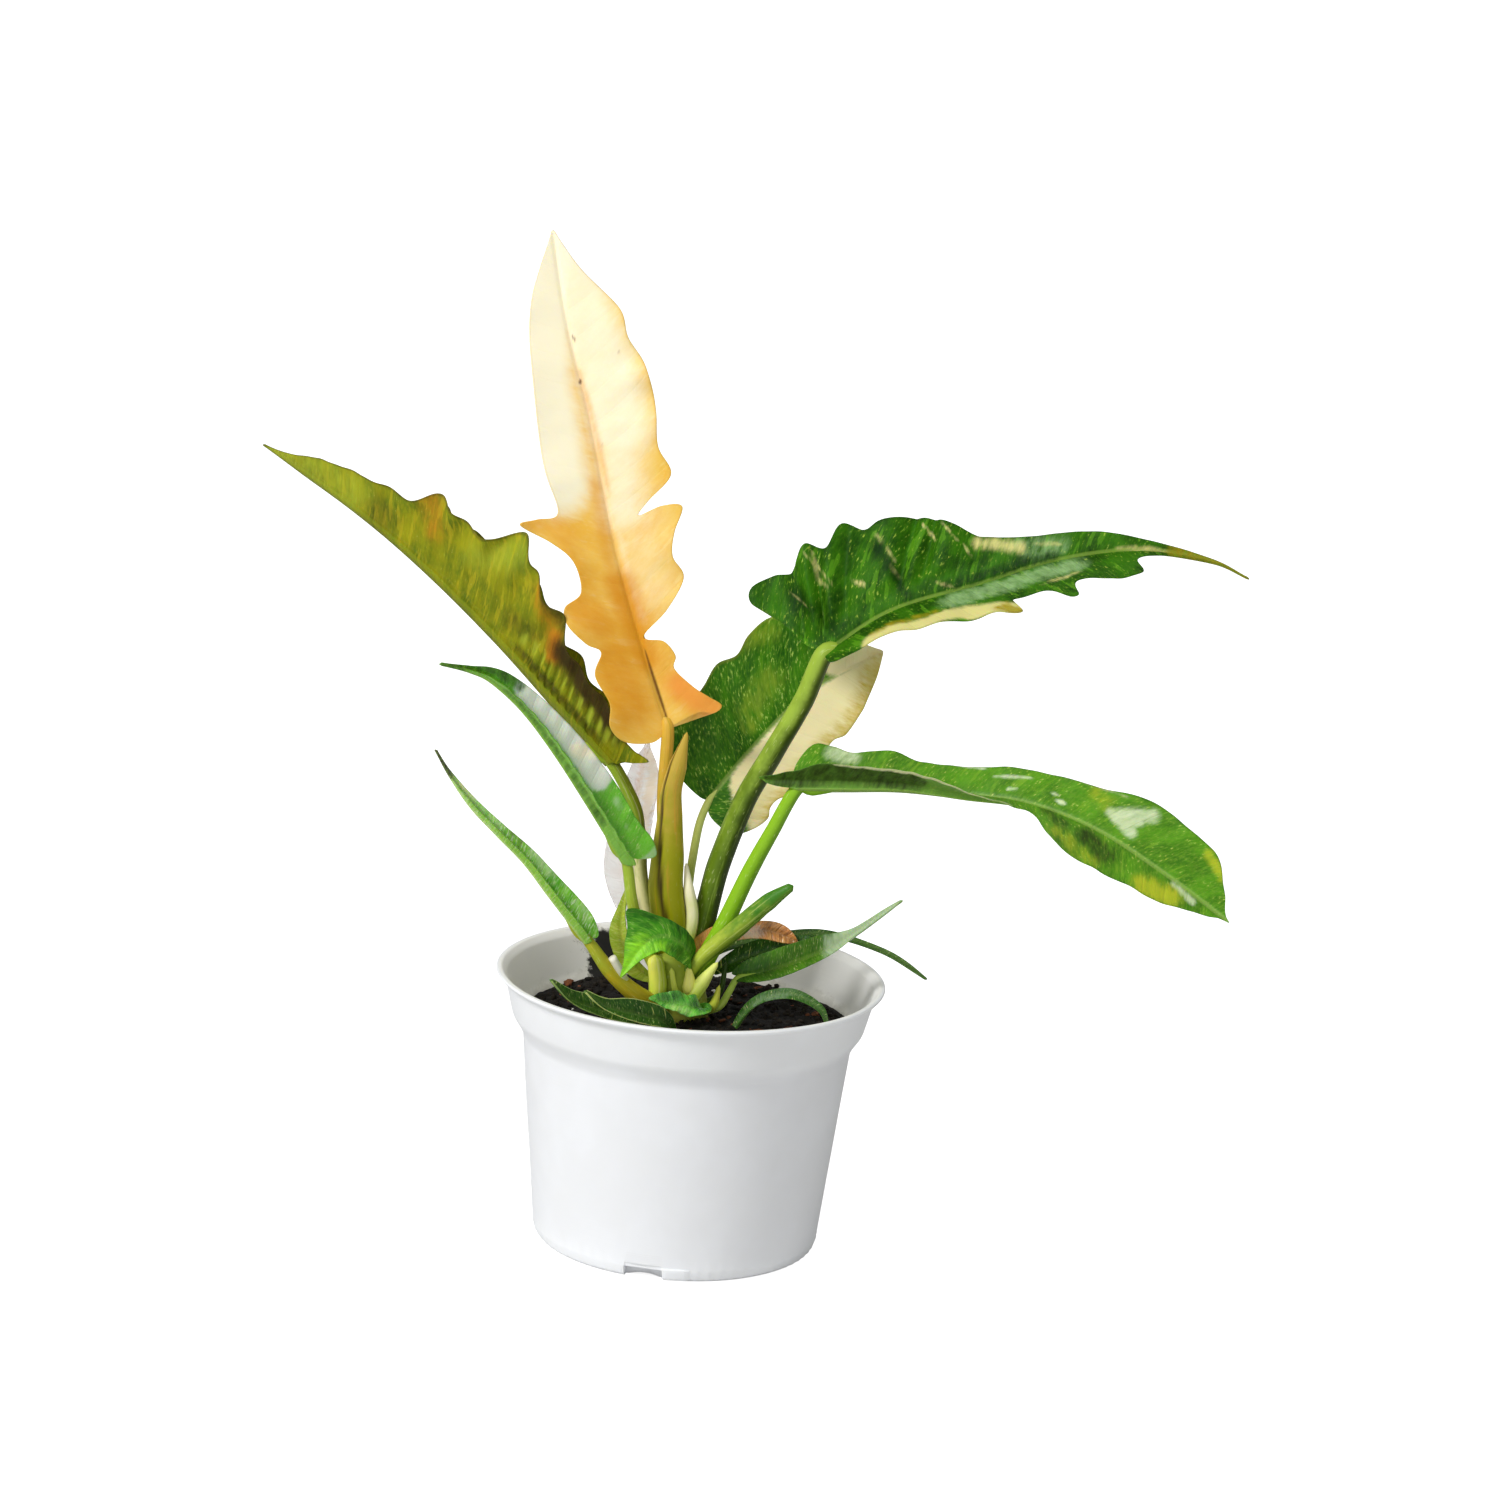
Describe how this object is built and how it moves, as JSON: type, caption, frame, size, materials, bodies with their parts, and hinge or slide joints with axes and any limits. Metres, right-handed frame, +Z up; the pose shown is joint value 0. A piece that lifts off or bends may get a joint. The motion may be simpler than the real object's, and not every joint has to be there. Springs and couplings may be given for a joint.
{
  "type": "potted variegated ring of fire philodendron",
  "caption": "Aroid house plant with long variegated, lobed and waved leaves on stalks from one crown, in soil in a round white tapered nursery pot.",
  "frame": {"origin": "on the pot's axis, at the centre of the underside of its floor, in the plane that the pot stands on", "axes": "+Z up along the pot's axis, -Y towards the plant's front, +X to the right seen from the front"},
  "size_m": [0.4005, 0.16, 0.409],
  "materials": {
    "pot": "satin",
    "soil": "matte",
    "crown": "satin",
    "stalk": "satin",
    "spear": "satin",
    "sheath": "satin",
    "sheath_blush": "satin",
    "bract": "satin",
    "leaf_cream": "satin",
    "leaf_olive": "satin",
    "leaf_green": "satin",
    "leaf_dark": "satin",
    "leaf_bright": "satin"
  },
  "bodies": {
    "root": {"nursery_pot": "pot", "potting_soil": "soil", "stem_crown": "crown", "cream_leaf": "leaf_cream", "olive_leaf": "leaf_olive", "channel_leaf": "leaf_green", "slim_leaf": "leaf_green", "arching_leaf": "leaf_dark", "half_moon_leaf": "leaf_green", "twisting_leaf": "leaf_green", "blush_sheath": "sheath_blush", "folded_leaf": "leaf_bright", "olive_sheath": "sheath", "dried_bract": "bract", "low_leaf_right": "leaf_green", "grass_leaf": "leaf_dark", "strap_leaf": "leaf_green", "front_leaf_left": "leaf_green", "front_leaf_low": "leaf_green", "ruffled_leaf": "leaf_bright", "cream_stalk": "stalk", "olive_stalk": "stalk", "channel_stalk": "stalk", "slim_stalk": "stalk", "arching_stalk": "stalk", "half_moon_stalk": "stalk", "twisting_stalk": "stalk", "low_right_stalk": "stalk", "rolled_spear": "spear", "pale_sheath": "sheath", "rolled_leaf": "spear", "front_stem": "sheath", "thin_stem": "sheath", "crown_bud": "sheath", "front_sheath": "sheath", "side_bud": "sheath", "dark_stem": "leaf_dark", "cut_stub": "sheath_blush"}
  },
  "joints": []
}
